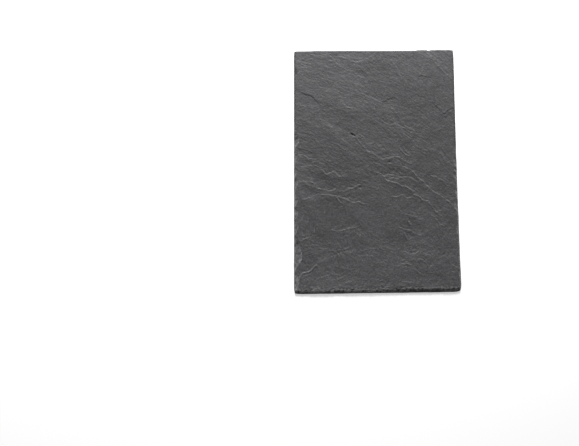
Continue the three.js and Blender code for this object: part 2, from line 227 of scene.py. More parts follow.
# A ledge is where one cleavage layer ends. The first number is the height of its step. Its points
# are walked with the high side on the right.
ledges = [
    (0.18, [(-55, 141), (-49, 136), (-46, 131), (-40, 127), (-35, 124), (-30, 123), (-23, 119),
            (-17, 115), (-10, 110)]),
    (0.32, [(-50, 141), (-41, 140), (-35, 138), (-30, 135), (-26, 134), (-20, 134), (-12, 137)]),
    (0.52, [(-66, 76), (-69, 81), (-73, 86), (-79, 91), (-84, 93), (-89, 96), (-97, 97)]),
    (0.17, [(-28, 109), (-20, 106), (-14, 103)]),
    (0.23, [(-26, 102), (-24, 98), (-17, 95), (-12, 92), (-3, 88), (1, 86), (8, 83)]),
    (0.20, [(-9, 118), (-13, 119), (-19, 126), (-20, 127)]),
    (0.18, [(-43, 84), (-41, 84), (-37, 80), (-32, 77), (-27, 76)]),
    (0.12, [(-37, 80), (-30, 75), (-24, 73)]),
    (0.12, [(-65, 59), (-63, 57), (-57, 55), (-51, 53)]),
    (0.45, [(28, 87), (24, 89), (20, 89), (15, 87), (10, 85), (7, 84)]),
    (0.24, [(18, 139), (20, 135), (26, 128), (28, 120), (35, 114), (38, 108), (41, 102)]),
    (0.35, [(62, 148), (68, 141), (72, 136), (77, 129), (82, 124), (88, 118), (94, 113)]),
    (0.40, [(70, 113), (64, 115), (58, 117), (55, 117), (52, 116)]),
    (0.55, [(99, 78), (93, 76), (87, 73), (83, 70), (78, 75), (73, 80), (72, 83)]),
    (0.32, [(60, 89), (57, 91), (52, 93), (50, 95)]),
    (0.23, [(18, 79), (23, 74), (27, 69), (30, 63), (34, 58), (36, 55), (41, 52), (46, 49),
            (50, 46), (53, 41)]),
    (0.13, [(59, 38), (62, 33), (65, 30), (68, 25)]),
    (0.24, [(75, 27), (77, 22), (81, 20), (85, 12), (91, 8)]),
    (0.40, [(-37, 48), (-34, 46), (-27, 46), (-21, 36), (-16, 31), (-11, 25), (-5, 22), (0, 18),
            (2, 16), (6, 14), (12, 15), (18, 16), (25, 17), (31, 15), (35, 12), (42, 9), (47, 6)]),
    (0.25, [(-24, 45), (-19, 44), (-14, 40), (-11, 34), (-6, 33), (-1, 35)]),
    (0.22, [(-47, 31), (-45, 31), (-40, 27), (-36, 25)]),
    (0.28, [(-73, 21), (-79, 22), (-88, 26), (-96, 27)]),
    (0.39, [(-95, 19), (-91, 19), (-86, 17), (-82, 15), (-77, 14)]),
    (0.25, [(-78, 9), (-72, 11), (-68, 9), (-62, 8)]),
    (0.12, [(-92, 5), (-84, 5), (-76, 6)]),
    (0.45, [(-67, 1), (-64, -1), (-60, -4), (-55, -3), (-52, -1), (-50, -2), (-46, -7), (-41, -8)]),
    (0.18, [(-99, -19), (-96, -16), (-89, -14), (-82, -14), (-75, -14)]),
    (0.44, [(-78, -13), (-76, -15), (-73, -18), (-70, -22), (-62, -24), (-57, -25), (-51, -23),
            (-49, -18)]),
    (0.30, [(-47, -25), (-39, -25), (-34, -23), (-30, -22), (-23, -18), (-21, -16)]),
    (0.37, [(-94, -38), (-86, -35), (-80, -33), (-75, -31), (-71, -29), (-65, -30), (-60, -30),
            (-50, -31), (-43, -33), (-38, -34), (-33, -37), (-27, -40), (-21, -38), (-15, -41),
            (-8, -40)]),
    (0.64, [(-48, -33), (-47, -34), (-42, -41)]),
    (0.20, [(37, -7), (32, -5), (26, -3), (21, 0), (16, 3), (12, 6)]),
    (0.34, [(-5, -1), (3, -3), (10, -6), (17, -5), (24, -7), (31, -8), (37, -8), (43, -10),
            (48, -13), (55, -17)]),
    (0.47, [(7, -5), (10, -8), (12, -11), (20, -14), (27, -16), (32, -19), (37, -20), (43, -24),
            (46, -30)]),
    (0.12, [(44, -25), (47, -29), (52, -32), (57, -36)]),
    (0.44, [(42, 0), (44, -1), (48, -5), (53, -10), (57, -13), (61, -18), (67, -23), (72, -28),
            (78, -30), (82, -34), (88, -38), (96, -46), (101, -50), (108, -57)]),
    (0.44, [(44, -30), (47, -30), (53, -33), (58, -37), (63, -37), (66, -41), (69, -45), (73, -50),
            (79, -56)]),
    (0.31, [(18, -30), (21, -32), (26, -32), (33, -30), (36, -33), (39, -34), (45, -32)]),
    (0.27, [(65, -5), (70, -7), (76, -10), (83, -13), (86, -17), (90, -21)]),
    (0.58, [(29, 29), (31, 26), (35, 21), (41, 17)]),
    (0.27, [(29, 10), (31, 6), (34, 4), (40, 2)]),
    (0.12, [(-96, -70), (-96, -67), (-92, -62), (-86, -62), (-82, -63)]),
    (0.13, [(-64, -69), (-62, -69), (-51, -69), (-48, -70)]),
    (0.32, [(-56, -72), (-52, -73), (-48, -74), (-43, -74), (-39, -72), (-35, -71), (-28, -70),
            (-19, -68)]),
    (0.12, [(-20, -80), (-19, -79), (-16, -78), (-12, -76), (-4, -74)]),
    (0.12, [(-94, -83), (-92, -84), (-83, -84)]),
    (0.21, [(-88, -93), (-87, -92), (-76, -91), (-70, -92), (-67, -96), (-55, -95)]),
    (0.80, [(-95, -139), (-94, -133), (-90, -126), (-85, -124), (-81, -123), (-77, -119),
            (-74, -116), (-71, -114)]),
    (0.12, [(-76, -115), (-70, -112), (-64, -110), (-57, -106), (-48, -104), (-41, -100),
            (-34, -101), (-27, -107), (-21, -111)]),
    (0.18, [(-74, -133), (-68, -131), (-62, -129), (-56, -127), (-48, -124)]),
    (0.20, [(28, -47), (30, -49), (36, -53), (43, -55), (48, -57), (54, -60), (57, -59)]),
    (0.91, [(39, -59), (39, -62), (42, -66)]),
    (0.30, [(27, -68), (29, -70), (34, -72), (40, -73), (46, -76), (51, -78), (56, -81)]),
    (0.63, [(33, -76), (35, -78), (38, -83), (39, -85)]),
    (0.18, [(41, -90), (43, -89), (54, -88)]),
    (0.12, [(-1, -94), (5, -93), (11, -93), (18, -97)]),
    (0.20, [(30, -98), (32, -98), (41, -102), (48, -101), (53, -95)]),
    (0.18, [(24, -118), (25, -117), (31, -114), (38, -114)]),
    (0.28, [(30, -137), (33, -136), (47, -136)]),
    (0.12, [(82, -80), (84, -78), (97, -77), (102, -75)]),
    (0.39, [(64, -52), (68, -55), (72, -59), (78, -66), (83, -69)]),
    (0.12, [(1, 8), (8, 5), (15, 0), (21, -5)]),
    (0.18, [(47, -22), (52, -26), (55, -29), (60, -33)]),
    (0.46, [(15, -11), (21, -10), (29, -10)]),
    (0.12, [(18, 56), (27, 51), (35, 45), (44, 38), (51, 32)]),
    (0.12, [(84, -76), (90, -70), (96, -67)]),
    (0.12, [(24, -106), (32, -110), (39, -111), (46, -108)]),
    (0.12, [(35, -110), (40, -114), (45, -117)]),
    (0.35, [(48, -111), (53, -108), (58, -111), (62, -115), (64, -119)]),
    (0.12, [(63, -119), (67, -116), (70, -113)]),
    (0.16, [(55, -102), (61, -103), (67, -104)]),
    (0.20, [(26, -118), (30, -115), (36, -113), (44, -116)]),
    (0.12, [(46, -121), (51, -124), (56, -128), (62, -127)]),
    (0.18, [(-2, -114), (5, -112), (12, -113)]),
    (0.21, [(-92, -87), (-85, -83), (-76, -79)]),
    (0.21, [(-93, -81), (-87, -79), (-80, -78)]),
    (0.12, [(-23, -104), (-16, -104), (-8, -103), (0, -102)]),
    (0.12, [(-23, -99), (-14, -98), (-7, -96), (1, -93)]),
    (0.15, [(-38, -137), (-29, -135), (-19, -132)]),
    (0.21, [(-98, 138), (-92, 133), (-86, 129), (-78, 126)]),
    (0.16, [(-54, 49), (-48, 44), (-41, 38), (-32, 33)]),
    (0.20, [(-71, -114), (-64, -110), (-57, -107), (-51, -104)]),
    (0.37, [(-48, -133), (-44, -131), (-39, -130)]),
    (0.12, [(-79, -125), (-75, -119), (-70, -115)]),
    (0.27, [(20, 60), (27, 56), (34, 53), (40, 49), (45, 45)]),
    (0.12, [(35, 45), (41, 40), (47, 35)]),
    (0.15, [(14, 41), (19, 38), (25, 35)]),
    (0.27, [(-97, 3), (-96, 11), (-92, 17), (-88, 22)]),
    (0.16, [(-37, -19), (-32, -22), (-29, -20)]),
]

# A fold is a soft slope where the split swung from one layer to the next. It is walked as a
# ledge is. The numbers are how high it rises and over what width.
folds = [
    (0.52, 8, [(-13, 118), (-26, 127), (-41, 137)]),
    (0.36, 8, [(-16, 62), (-43, 71), (-72, 86), (-99, 100)]),
    (0.40, 5, [(-3, 9), (-11, 19), (-21, 33)]),
    (0.42, 6, [(36, -4), (24, 2), (11, 7)]),
    (0.60, 6, [(-24, -14), (-39, -14), (-53, -11), (-72, -6), (-93, 0)]),
    (0.85, 7, [(-68, -30), (-76, -25), (-84, -21), (-91, -21)]),
    (0.55, 8, [(-78, -63), (-83, -52), (-88, -41)]),
    (0.80, 8, [(-23, -64), (-31, -56), (-39, -45)]),
    (0.42, 6, [(54, -70), (47, -64), (41, -58)]),
    (0.42, 6, [(52, -87), (45, -81), (38, -75)]),
    (0.42, 14, [(41, -89), (26, -86), (11, -81)]),
    (0.25, 4, [(-85, -115), (-87, -107), (-89, -97)]),
    (0.45, 8, [(-57, -120), (-64, -117), (-71, -112)]),
    (0.32, 7, [(80, -131), (72, -125), (65, -119)]),
    (0.50, 5, [(44, -31), (37, -26), (30, -21), (22, -18)]),
    (0.38, 8, [(4, 82), (16, 80), (28, 78)]),
    (0.30, 4, [(-60, 59), (-53, 53), (-45, 44)]),
    (0.45, 8, [(27, -99), (41, -103), (54, -101)]),
    (0.45, 8, [(83, -65), (85, -76), (93, -89)]),
    (0.33, 7, [(-81, 112), (-63, 101), (-41, 91), (-20, 83)]),
    (0.50, 12, [(32, -90), (21, -81), (11, -71), (9, -54)]),
    (0.35, 6, [(73, -53), (65, -43), (55, -36)]),
    (0.40, 9, [(-41, 22), (-52, 34), (-61, 46)]),
    (0.30, 8, [(-54, 56), (-42, 49), (-31, 40)]),
    (0.30, 6, [(69, 59), (60, 67), (50, 74)]),
    (0.33, 4, [(58, -33), (52, -27), (45, -21)]),
    (0.38, 5, [(55, -18), (49, -10), (43, -3)]),
    (0.28, 4, [(71, -34), (65, -27), (59, -21)]),
    (0.35, 4, [(-71, 7), (-82, 11), (-93, 14)]),
]

# Hard grains that the split went round, and cracks left open under a ledge:
# place, length, width, how far the length runs down to the right, and height.
grains_and_cracks = [
    (77, 49.5, 1.6, 1.4, 0, 0.7),
    (-66, 29.5, 1.6, 1.2, 20, 0.6),
    (91.5, -16.5, 1.7, 1.5, 0, 0.8),
    (77, 128.5, 1.8, 1.5, 0, 0.6),
    (63.5, 130.5, 2.2, 1.4, -20, 0.45),
    (-50.5, 47.5, 2.0, 1.5, 10, 0.45),
    (-86, 61, 2.0, 1.6, 0, 0.45),
    (-36.5, -138, 2.0, 1.5, 0, 0.4),
    (-53.5, -144, 2.8, 1.4, -15, 0.5),
    (85.5, -142, 2.0, 1.4, 30, 0.5),
    (-28, 43.5, 5.6, 1.4, 30, -2.4),
    (16.5, 10, 3.4, 1.3, 5, -2.0),
    (-20, -21, 2.4, 1.3, 10, -1.0),
    (-19, -21, 2.6, 1.5, 10, -0.9),
]

# Where the face has weathered a little paler or darker over a wide soft patch:
# place, half its length and width, and how much paler, or darker if it is less than nought.
weathered_patches = [
    (-93, -3, 16, 26, 0.09),
    (-65, -139, 44, 17, 0.11),
    (-65, -114, 13, 14, 0.05),
    (58, -90, 18, 12, 0.05),
    (35, 82, 22, 30, -0.10),
]

# Thin flakes lost from the back: place, half their length and width, and how they are turned.
back_flakes = [(-98, 0, 72, 26, 95), (75, 138, 62, 34, -12), (88, -130, 52, 36, 30)]
back_flake_depth = 0.35


def chain_through(points, pieces_each=5):
    """A smooth curve through the points, as a chain of short straight pieces."""
    guide = np.array([points[0]] + list(points) + [points[-1]], float)
    chain = []
    for i in range(1, len(guide) - 2):
        before, start, end, after = guide[i - 1:i + 3]
        for share in np.arange(pieces_each) / pieces_each:
            chain.append(0.5 * (2 * start + (end - before) * share
                                + (2 * before - 5 * start + 4 * end - after) * share ** 2
                                + (3 * start - before - 3 * end + after) * share ** 3))
    chain.append(guide[-2])
    return np.array(chain)


def beside_chain(x, y, points, reach):
    """Which points lie within reach of the chain, and for those how far off to its right they
    are, how far along it from 0 to 1, and how squarely the step there faces the head."""
    chain = chain_through(points)
    near = ((x > chain[:, 0].min() - reach) & (x < chain[:, 0].max() + reach)
            & (y > chain[:, 1].min() - reach) & (y < chain[:, 1].max() + reach))
    px, py = x[near], y[near]
    best = np.full(px.shape, np.inf)
    side = np.zeros_like(px)
    along = np.zeros_like(px)
    facing_head = np.zeros_like(px)
    pieces = len(chain) - 1
    for i in range(pieces):
        run = chain[i + 1] - chain[i]
        dx = px - chain[i, 0]
        dy = py - chain[i, 1]
        share = np.clip((dx * run[0] + dy * run[1]) / (run @ run), 0, 1)
        distance = np.hypot(dx - share * run[0], dy - share * run[1])
        closer = distance < best
        best = np.where(closer, distance, best)
        side = np.where(closer, np.where(run[0] * dy - run[1] * dx < 0, 1.0, -1.0), side)
        along = np.where(closer, (i + share) / pieces, along)
        facing_head = np.where(closer, run[0] / np.hypot(*run), facing_head)
    return near, side * best, along, facing_head


def ledge_relief(x, y, drop, points):
    """How much one ledge lifts or lowers the face, up on its right and down on its left, how pale
    its rim is drawn and how much painted shade lies behind it. A rim that faces the head gets a
    pale painted highlight, partly fresh broken stone, with painted shade on the stone behind it."""
    near, off, along, facing_head = beside_chain(x, y, points, 3 * ledge_fade)
    px, py = x[near], y[near]
    ends = smoothstep(along, 0, ledge_end) * smoothstep(1 - along, 0, ledge_end)
    relief = np.zeros_like(x)
    rim = np.zeros_like(x)
    ledge_shade = np.zeros_like(x)
    for order, (apart, share_of_drop) in enumerate(layers_beside):
        wander = layered_noise(px / 16, py / 16, 83 + order, 2)
        unevenness = layered_noise(px / 3, py / 3, 91 + order, 2)
        away = off - apart * (1 + 0.6 * wander)
        strength = share_of_drop * ends * np.clip(1 + 0.5 * unevenness, 0.35, 1.7)
        if order:
            gaps = layered_noise(px / 14, py / 14, 97 + order, 2)
            strength = strength * smoothstep(gaps, -0.2, 0.4)
        distance = np.abs(away)
        lip = lip_share * (away > 0)
        fade = (1 - lip) * np.exp(-distance / ledge_fade) + lip * np.exp(-distance / lip_fade)
        step = np.clip(2 * away / ledge_wall_width, -1, 1)
        relief[near] += 0.5 * drop * step * fade * strength
        # Only rims that face the head, towards the lamp, get the painted highlight and the painted
        # shade behind them.
        head_facing_strength = drop * strength * smoothstep(facing_head, -0.1, 0.5)
        rim[near] += rim_highlight_paleness * head_facing_strength * np.exp(-(away / rim_width) ** 2)
        # Painted shade on the high side, just behind the rim.
        behind = (away - ledge_shade_place) / ledge_shade_width
        ledge_shade[near] += painted_ledge_shade * head_facing_strength * np.exp(-behind ** 2)
    return relief, rim, ledge_shade


def fold_relief(x, y, rise, width, points):
    """How much one fold lifts or lowers the face. Its width holds four fifths of its rise."""
    near, off, along, _ = beside_chain(x, y, points, 3 * ledge_fade)
    ends = smoothstep(along, -0.15, 0.2) * smoothstep(1 - along, -0.15, 0.2)
    fade = np.exp(-(off / (1.2 * ledge_fade)) ** 2)
    relief = np.zeros_like(x)
    relief[near] = 0.5 * rise * np.tanh(2.2 * off / width) * fade * ends
    return relief


def scalloped(x, y):
    """Places moved a little to and fro, so that ledges break in small scallops."""
    wave_x, wave_y = x / scallop_length, y / scallop_length
    return (x + ledge_scallop * layered_noise(wave_x, wave_y, 51, 3),
            y + ledge_scallop * layered_noise(wave_x, wave_y, 61, 3))


def beside_a_ledge(x, y, reach):
    """Whether each point is within reach of one of the ledges."""
    x, y = scalloped(x, y)
    beside = np.zeros(x.shape, bool)
    for _, points in ledges:
        for spot in chain_through(points, 12):
            beside |= np.hypot(x - spot[0], y - spot[1]) < reach
    return beside


# ---- The weather face and the back ----

def grain_at(x, y):
    """Millimetres along and across the grain of the cleavage. It runs down to the right over the
    upper part of the slate, and turns level and curly towards the tail."""
    # It falls by 0.6 of the way that it runs, and 0.86 keeps the distance across it true.
    towards_tail = smoothstep(-y, -20, 140)
    along = x - 0.5 * y * (1 - towards_tail)
    bow = (0.0018 + 0.0012 * towards_tail) * x * x
    across = 0.86 * (y + 0.6 * x * (1 - towards_tail) + bow)
    across += (3 + 9 * towards_tail) * layered_noise(x / 40, y / 40, 11, 2)
    return along, across + 0.8 * layered_noise(x / 7, y / 7, 15, 2)


def layer_level(x, y):
    """A slow slope across the grain. A thin layer ends where it passes a whole number."""
    along, across = grain_at(x, y)
    curly = smoothstep(-y, 20, 90)
    straight = layered_noise(along / 45, across / 10, 21, 3)
    return 2.0 * (straight * (1 - curly) + layered_noise(along / 14, across / 14, 25, 3) * curly)


def fine_cleavage(x, y):
    """The thin layers that the split ran through: faint ledges everywhere, stronger in places."""
    steps, rims = thin_layers(layer_level, x, y)
    patchy = np.clip(0.8 + 0.9 * layered_noise(x / 20, y / 20, 51, 2), 0.1, 2)
    showing = patchy * (1 + 0.9 * smoothstep(-y, 40, 90))
    relief = thin_layer_height * steps * showing
    small_bumps = layered_noise(x / 4.0, y / 2.8, 45, 2)
    wide_bumps = layered_noise(x / 22, y / 12, 47, 2)
    relief += 0.05 * small_bumps + 0.13 * wide_bumps
    # The rims' paleness is a painted highlight on rims that face the head.
    return relief, thin_layer_highlight * rims * showing


def turned_to(x, y, place_x, place_y, degrees):
    """The same places seen from a place of their own that is turned by so many degrees."""
    turn = math.radians(degrees)
    dx, dy = x - place_x, y - place_y
    return (dx * math.cos(turn) + dy * math.sin(turn),
            dy * math.cos(turn) - dx * math.sin(turn))


def weather_face(x, y):
    """Height, paleness of break with painted highlights on ledge rims that face the head, and
    painted shade behind the ledges. x and y are from the middle of the slate."""
    # Two slow waves, the second finer and lower.
    wave = 2 * math.pi / swell_length
    height = face_level + swell_height * np.sin((0.5 * x + 0.87 * y) * wave + 0.8)
    height += 0.5 * swell_height * np.sin((x - 0.4 * y) * 1.7 * wave)
    scallop_x, scallop_y = scalloped(x, y)
    pale_break_and_highlight = np.zeros_like(x)
    dark = np.zeros_like(x)
    for drop, points in ledges:
        relief, rim, ledge_shade = ledge_relief(scallop_x, scallop_y, drop, points)
        height += relief
        pale_break_and_highlight = np.maximum(pale_break_and_highlight, rim)
        dark = np.maximum(dark, ledge_shade)
    for rise, width, points in folds:
        height += fold_relief(scallop_x, scallop_y, rise, width, points)
    for place_x, place_y, length, width, down, rise in grains_and_cracks:
        along, across = turned_to(x, y, place_x, place_y, -down)
        height += rise * np.exp(-3.2 * ((along / length) ** 2 + (across / width) ** 2))
    relief, rim = fine_cleavage(x, y)
    return height + relief, np.maximum(pale_break_and_highlight, rim), dark


def hollow_level(x, y):
    """A slow slope over the back, for its own thin layers."""
    return 1.6 * layered_noise((x + 0.4 * y) / 70, (y - 0.3 * x) / 32, 101, 4)


def riven_back(x, y):
    """The back is flatter than the face. It lies on its highest parts, which are at nought, and
    thin flakes have come away from it here and there."""
    steps, _ = thin_layers(hollow_level, x, y)
    small_bumps = layered_noise(x / 5, y / 4, 105, 2)
    hollow = 0.16 + 0.12 * hollow_level(x, y) + 0.16 * steps + 0.03 * small_bumps
    for place_x, place_y, length, width, turn in back_flakes:
        along, across = turned_to(x, y, place_x, place_y, turn)
        away = np.hypot(along / length, across / width)
        away += 0.12 * layered_noise(x / 14, y / 14, 111, 3)
        hollow += back_flake_depth * (1 - smoothstep(away, 0.94, 1.0))
    return np.maximum(hollow, 0)


# ---- The broken edges ----

def bevel_width(usual_width, roughness, spalls, at):
    """The width of the bevel along one edge, with its spalls."""
    width = usual_width * (1 + bevel_raggedness * roughness)
    for place, length, reach in spalls:
        scallops = 1 + 0.2 * layered_noise(at / 6, at * 0 + place, 93, 2)
        bow = 1 - np.abs(2 * (at - place) / length) ** 2.3
        width = np.maximum(width, reach * bow * scallops)
    return width


# One of the four edges: how deep inside it each point is, its place in steps around the rim, which
# way is inwards, the width of its bevel and how round that is, how ragged its line is, how much
# painted shade its foot gets, and how pale it is where it broke.
DressedEdge = namedtuple("DressedEdge", ["depth", "step", "inwards", "bevel", "roundness",
                                         "raggedness", "foot_darkness", "paleness"])


def dressed_edges(u, v, up_slate):
    """The four edges as they are beside each point, u across and v up from 0 to 1. up_slate is
    the same as v in millimetres from the middle."""
    column = u * steps_across
    row = v * steps_along
    halfway = steps_across + steps_along
    upper_left = smoothstep(up_slate, 40, 60)
    lower_left_corner = smoothstep(-up_slate, 115, 128)
    upper_right = smoothstep(up_slate, 20, 35)
    tail = DressedEdge(
        depth=v * slate_length, step=column, inwards=(0, 1),
        bevel=bevel_width(tail_bevel, ragged(column, 6), [], u), roundness=2.0,
        raggedness=1.0, foot_darkness=0.85, paleness=0.85 - 0.4 * smoothstep(u, 0.45, 0.8))
    head = DressedEdge(
        depth=(1 - v) * slate_length, step=steps_across + halfway - column, inwards=(0, -1),
        bevel=bevel_width(head_bevel, ragged(column, 5), [], u), roundness=1.4,
        raggedness=0.35, foot_darkness=0.3, paleness=0.6)
    left = DressedEdge(
        depth=u * slate_width, step=2 * halfway - row, inwards=(1, 0),
        bevel=bevel_width(left_bevel, ragged(row, 7), left_spalls, up_slate), roundness=1.25,
        raggedness=0.8, foot_darkness=0.5 * smoothstep(up_slate, 20, 60),
        paleness=0.55 + 0.35 * lower_left_corner - 0.45 * upper_left)
    right = DressedEdge(
        depth=(1 - u) * slate_width, step=steps_across + row, inwards=(-1, 0),
        bevel=bevel_width(right_bevel, ragged(row, 4), right_spalls, up_slate), roundness=1.25,
        raggedness=0.8, foot_darkness=0.9 * upper_right, paleness=0.5 - 0.44 * upper_right)
    return tail, head, left, right


def bevel_height(edge, reach):
    """The height of an edge's bevel, which rises over its reach from the foot to the face in the
    steps of its layers, and how deep in the painted shade of its foot goes."""
    foot = broken_wall_height * (1 + 0.3 * ragged(edge.step, 3))
    share = np.clip(edge.depth / reach, 0, 1)
    past_reach = np.maximum(edge.depth / reach - 1, 0)
    rise = foot + (face_level - foot) * (1 - (1 - share) ** edge.roundness) + 4 * past_reach
    rough = 0.5 * layered_noise(edge.step * 1.3, edge.depth / 1.2, 81, 2)
    layer = rise / lamina + rough
    riser = smoothstep(layer - np.floor(layer), 0.55, 1.0)
    stepped = lamina * (np.floor(layer) + riser - rough)
    nibbles = layered_noise(edge.step * 1.7, edge.depth / 2, 82, 2)
    nibble_depth = 0.09 * np.minimum(edge.bevel, 5) * np.maximum(nibbles, 0)
    nibbled = 0.4 * rise + 0.6 * stepped - nibble_depth
    # Where a bevel is this much wider than usual, it is a spall. The wide tail has none.
    spall_step = spall_step_height * smoothstep(edge.bevel, 1.8, 2.6) * (edge.roundness < 2)
    nibbled -= spall_step * smoothstep(reach - edge.depth, 0, 0.7)
    foot_reach = np.maximum(np.maximum(0.32 * edge.bevel, 1.0) * (1 + 2.0 * nibbles), 1.1)
    return np.where(edge.depth > 0, nibbled, rise), foot_reach


def broken_paleness(x, y, below, outermost, paleness):
    """Stone is pale where the bevel bit below the face, on its rim and on the arris itself."""
    blotches = 0.55 + 0.6 * layered_noise(x / 2.0, y / 2.2, 95, 2)
    bitten = paleness * smoothstep(below, 0, 0.2) * blotches
    pale_rim = 0.4 * np.exp(-((below - 0.15) / 0.2) ** 2)
    pale_arris = 0.25 * np.exp(-(outermost / 1.1) ** 2)
    return bitten + np.minimum(3 * paleness, 1) * (pale_rim + pale_arris)


def bend_into_slate(u, v, level):
    """The finished place of each point, how pale it is drawn, with painted highlights on ledge rims
    that face the head, and how much painted shade it has, on the broken wall, at the foot of an
    edge and behind ledges, deep in the broken edge too. u and v run from 0 to 1, and level counts
    down the wall."""
    x = left_side + u * (slate_width + side_flare * (0.5 - v) - 4 * right_side_bow * v * (1 - v))
    lift = tail_out_of_square + (head_out_of_square - tail_out_of_square) * v
    y = middle_y + (v - 0.5) * slate_length + lift * (u - 0.5)
    up_the_wall = 1 - level / wall_rows
    bevel = np.full_like(x, np.inf)
    outermost = np.full_like(x, np.inf)
    # The broken wall is painted dark all over, as shade.
    dark = np.clip(level, 0, 1)
    paleness = np.ones_like(x)
    for edge in dressed_edges(u, v, y - middle_y):
        # The line of the edge, and the steep break up from the back.
        wander = arris_wander * (1 + edge.raggedness * ragged(edge.step, 1))
        lean = broken_wall_lean * (1 + edge.raggedness * ragged(edge.step, 2))
        bumps = smooth_noise(edge.step * 1.9, level * 1.3, 71)
        broken = broken_wall_roughness * edge.raggedness * bumps
        broken = broken * np.sin(math.pi * up_the_wall)
        near_edge = np.clip(1 - edge.depth / shift_reach, 0, 1) ** 2
        shift = (wander + lean * up_the_wall + broken) * near_edge
        if edge.inwards == (0, -1):
            shift += np.interp(x - middle_x, *zip(*head_line)) * near_edge
        x = x + edge.inwards[0] * shift
        y = y + edge.inwards[1] * shift

        reach = np.maximum(deepest_break + edge.bevel - wander - lean, 0.5)
        height, foot_reach = bevel_height(edge, reach)
        bevel = np.minimum(bevel, height)
        # The foot of each edge is painted darker, as shade.
        in_foot = smoothstep(foot_reach - edge.depth, -0.4, 0.4)
        dark = np.maximum(dark, edge.foot_darkness * in_foot)
        palest = np.minimum(paleness, edge.paleness)
        paleness = np.where(edge.depth < paleness_reach, palest, paleness)
        outermost = np.minimum(outermost, edge.depth)
    for corner_u, corner_v, loss in corners:
        away = np.hypot(abs(u - corner_u) * slate_width, abs(v - corner_v) * slate_length)
        pull = loss * math.sqrt(0.5) * np.maximum(0, 1 - away / corner_reach) ** 2
        x = x + (1 - 2 * corner_u) * pull
        y = y + (1 - 2 * corner_v) * pull

    face, pale_break_and_highlight, ledge_shaded = weather_face(x - middle_x, y - middle_y)
    near_tail = np.exp(-(v * slate_length / tail_rough_reach) ** 2)
    scaly = layered_noise(x / 2.6, y / 2.1, 98, 2)
    face = face + tail_roughness * near_tail * scaly
    chips = np.clip(layered_noise(x / 2.2, y / 1.8, 99, 2) - 0.3, 0, 1)
    pale_break_and_highlight = pale_break_and_highlight + 1.5 * near_tail * chips
    z = np.minimum(np.minimum(face, bevel), highest_point) * up_the_wall

    below = face - bevel
    pale_break_and_highlight = np.maximum(pale_break_and_highlight, broken_paleness(x, y, below, outermost, paleness))
    pale_break_and_highlight += 0.03 * np.exp(-(outermost / 8) ** 2)
    # Painted shade: a dark line just inside the border of a bevel, added to the painted shade
    # behind ledges.
    painted_border_shade = 0.45 * np.exp(-((below + 0.45) / 0.3) ** 2)
    dark = dark + ledge_shaded + painted_border_shade * smoothstep(scaly, -0.4, 0.3)
    for place_x, place_y, length, width, paler in weathered_patches:
        patch = np.exp(-((x - middle_x - place_x) / length) ** 2
                       - ((y - middle_y - place_y) / width) ** 2)
        pale_break_and_highlight += max(paler, 0) * patch
        dark += max(-paler, 0) * patch
    return x, y, z, pale_break_and_highlight, dark


# ---- The slate ----

def edge_places(full_size):
    """Places from 0 to full_size, close together near both ends."""
    rim = fine_cells * fine_cell
    inner = round((full_size - 2 * rim) / face_cell)
    return np.concatenate([
        np.linspace(0, rim, fine_cells + 1)[:-1],
        np.linspace(rim, full_size - rim, inner + 1),
        np.linspace(full_size - rim, full_size, fine_cells + 1)[1:],
    ])


def place_on_slate(grid_places, cell_places):
    """From a place along the flat grid, -0.5 to 0.5, to a share of the slate, 0 to 1."""
    cells = (grid_places + 0.5) * (len(cell_places) - 1)
    return np.interp(cells, np.arange(len(cell_places)), cell_places) / cell_places[-1]


def deselect_all():
    for obj in bpy.context.selected_objects:
        obj.select_set(False)


def select_faces_beside_ledges(mesh):
    """On the flat grid, whose sides are one unit long."""
    for elements in (mesh.vertices, mesh.edges):
        elements.foreach_set("select", np.zeros(len(elements), bool))
    centres = np.empty(len(mesh.polygons) * 3)
    mesh.polygons.foreach_get("center", centres)
    centres = centres.reshape(-1, 3)
    u = place_on_slate(centres[:, 0], edge_places(slate_width))
    v = place_on_slate(centres[:, 1], edge_places(slate_length))
    x, y = bend_into_slate(u, v, np.zeros_like(u))[:2]
    rim = fine_cells * fine_cell
    inside = ((np.minimum(u, 1 - u) * slate_width > rim)
              & (np.minimum(v, 1 - v) * slate_length > rim))
    beside = beside_a_ledge(x - middle_x, y - middle_y, 0.9 * face_cell)
    mesh.polygons.foreach_set("select", beside & inside)


